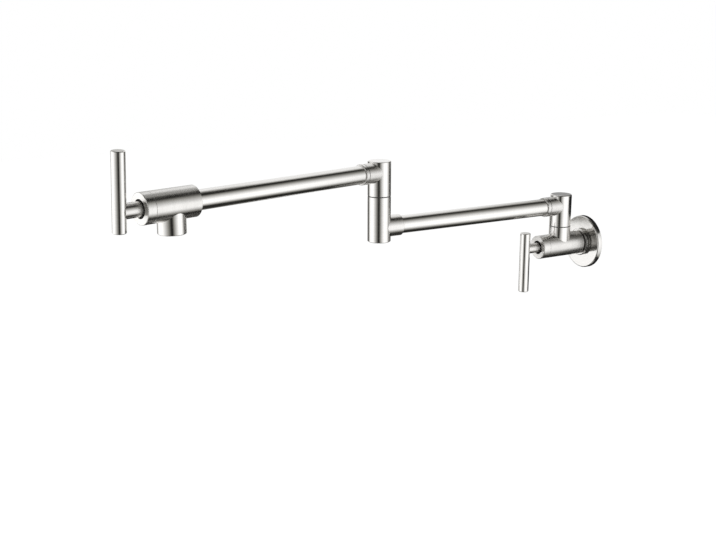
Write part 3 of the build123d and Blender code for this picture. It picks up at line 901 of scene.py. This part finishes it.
def window(tree, bearing, elevation, sides, heights, side_feathers, height_feathers):
    """1 inside a patch of the dome, falling straight to 0 over its feathers; angles in degrees."""
    left = range_node(tree, bearing, sides[0] - side_feathers[0], sides[0], smooth=False)
    right = range_node(tree, bearing, sides[1] + side_feathers[1], sides[1], smooth=False)
    low = range_node(tree, elevation, heights[0] - height_feathers[0], heights[0], smooth=False)
    high = range_node(tree, elevation, heights[1] + height_feathers[1], heights[1], smooth=False)
    return math_node(tree, "MULTIPLY", math_node(tree, "MULTIPLY", left, right),
                     math_node(tree, "MULTIPLY", low, high))


def open_back(tree, bearing, elevation):
    """The open back of the tent: wider high up, closed at the top and fading towards its foot."""
    behind = math_node(tree, "ADD", math_node(tree, "ABSOLUTE", bearing),
                       math_node(tree, "MULTIPLY", elevation, BACK_LEAN))
    opening = math_node(tree, "MULTIPLY", range_node(tree, behind, *BACK_EDGE),
                        range_node(tree, elevation, *BACK_TOP))
    return math_node(tree, "MULTIPLY", opening,
                     range_node(tree, elevation, *BACK_FOOT, smooth=False))


def dim_patches(tree, elevation):
    """The dim patches straight overhead and straight below."""
    overhead = range_node(tree, elevation, *POLE_EDGE)
    below = range_node(tree, elevation, *(-edge for edge in POLE_EDGE))
    return math_node(tree, "MULTIPLY", math_node(tree, "ADD", overhead, below), PATCH_LEVEL)


def emission_material(name):
    """A material that only glows, with its tree and its Emission node."""
    material, tree, surface = new_surface(name)
    tree.nodes.remove(surface)
    glow = tree.nodes.new("ShaderNodeEmission")
    tree.links.new(glow.outputs[0], tree.nodes["Material Output"].inputs["Surface"])
    return material, tree, glow


def only_reflected(item):
    """Hide a stage object from all but reflections."""
    item.visible_camera = False
    item.visible_diffuse = False
    item.visible_shadow = False


def make_tent():
    """The dome that reflections see."""
    material, tree, glow = emission_material("tent_cloth")
    x, y, z = split_vector(tree, tree.nodes.new("ShaderNodeTexCoord").outputs["Object"])
    to_degrees = degrees(1.0)
    bearing = math_node(tree, "MULTIPLY", math_node(tree, "ARCTAN2", y, x), to_degrees)
    rise = math_node(tree, "ARCSINE", math_node(tree, "DIVIDE", z, TENT_RADIUS))
    elevation = math_node(tree, "MULTIPLY", rise, to_degrees)

    right_box = window(tree, bearing, elevation, **RIGHT_BOX)
    left_box = window(tree, bearing, elevation, **LEFT_BOX)
    left_box = math_node(tree, "POWER", left_box, LEFT_BOX_FALL)
    boxes = math_node(tree, "MAXIMUM", right_box, left_box)
    light = math_node(tree, "MULTIPLY", boxes, SOFTBOX_LEVEL)
    for source in (open_back(tree, bearing, elevation), dim_patches(tree, elevation), DARK_CLOTH):
        light = math_node(tree, "MAXIMUM", light, source)
    tree.links.new(light, glow.inputs["Strength"])
    whiteness = range_node(tree, light, *CLOTH_TO_WHITE)
    tree.links.new(mix_colour(tree, whiteness, WARM_CLOTH, WHITE), glow.inputs["Color"])

    shape = bmesh.new()
    bmesh.ops.create_uvsphere(shape, u_segments=96, v_segments=48, radius=TENT_RADIUS)
    tent = stage_object("light_tent", shape, material)
    tent.location = TENT_CENTRE
    tent.rotation_euler.z = CAMERA_TURN - tau / 4
    only_reflected(tent)


make_tent()
print("tent radius", TENT_RADIUS, "m")

# %% [markdown]
# Four small cards stand inside the tent, close to the wall end, where only reflections see them. A
# photographer sets such cards to shape single edges. The white one stands across from the flange
# and lights the flat faces that look away from both softboxes. Two black ones, just behind the
# wall's face, give the flange its black edge. A grey one above them dims the riser's flat top.

# %% Cards
def make_card(name, start, end, bottom, top, level):
    """An upright card over the line from start to end, white at level 1 and black at level 0."""
    material, _, glow = emission_material(name + "_paper")
    glow.inputs["Strength"].default_value = level
    shape = bmesh.new()
    foot = shape.edges.new([shape.verts.new((x, y, bottom)) for x, y in (start, end)])
    raised = bmesh.ops.extrude_edge_only(shape, edges=[foot])["geom"]
    upper = [item for item in raised if isinstance(item, bmesh.types.BMVert)]
    bmesh.ops.translate(shape, vec=(0, 0, top - bottom), verts=upper)
    only_reflected(stage_object(name, shape, material))
    print(name, "level", level)


make_card("flange_card", (-0.244, -0.177), (-0.182, -0.249), bottom=-0.22, top=-0.038, level=1.2)
make_card("upper_edge_card", (-0.045, 0.012), (0.045, 0.012), bottom=0.026, top=0.058, level=0.02)
make_card("lower_edge_card", (-0.045, 0.012), (0.045, 0.012), bottom=-0.075, top=-0.030, level=0.02)
make_card("head_card", (-0.120, 0.012), (-0.012, 0.012), bottom=0.062, top=0.110, level=0.35)

# %% [markdown]
# Two large lamps light everything that isn't metal, from the same sides as the tent's windows. They
# don't show in reflections, where the tent already stands for them.

# %% Lamps
LAMP_DISTANCE = 1.4
LAMP_SIZE = 1.0


def make_lamp(name, bearing, elevation, power):
    """A square area lamp that faces the tap; angles in degrees, power in watts."""
    data = bpy.data.lights.new(name, "AREA")
    data.size = LAMP_SIZE
    data.energy = power
    lamp = bpy.data.objects.new(name, data)
    turn = CAMERA_TURN + radians(bearing)
    rise = radians(elevation)
    back = Vector((sin(turn) * cos(rise), -cos(turn) * cos(rise), sin(rise)))
    lamp.location = TENT_CENTRE + back * LAMP_DISTANCE
    lamp.rotation_euler = (-back).to_track_quat("-Z", "Y").to_euler()
    lamp.visible_glossy = False
    bpy.context.scene.collection.objects.link(lamp)
    print("lamp", name, power, "W")


make_lamp("right_softbox", bearing=65, elevation=35, power=14.0)
make_lamp("left_softbox", bearing=-65, elevation=30, power=10.0)
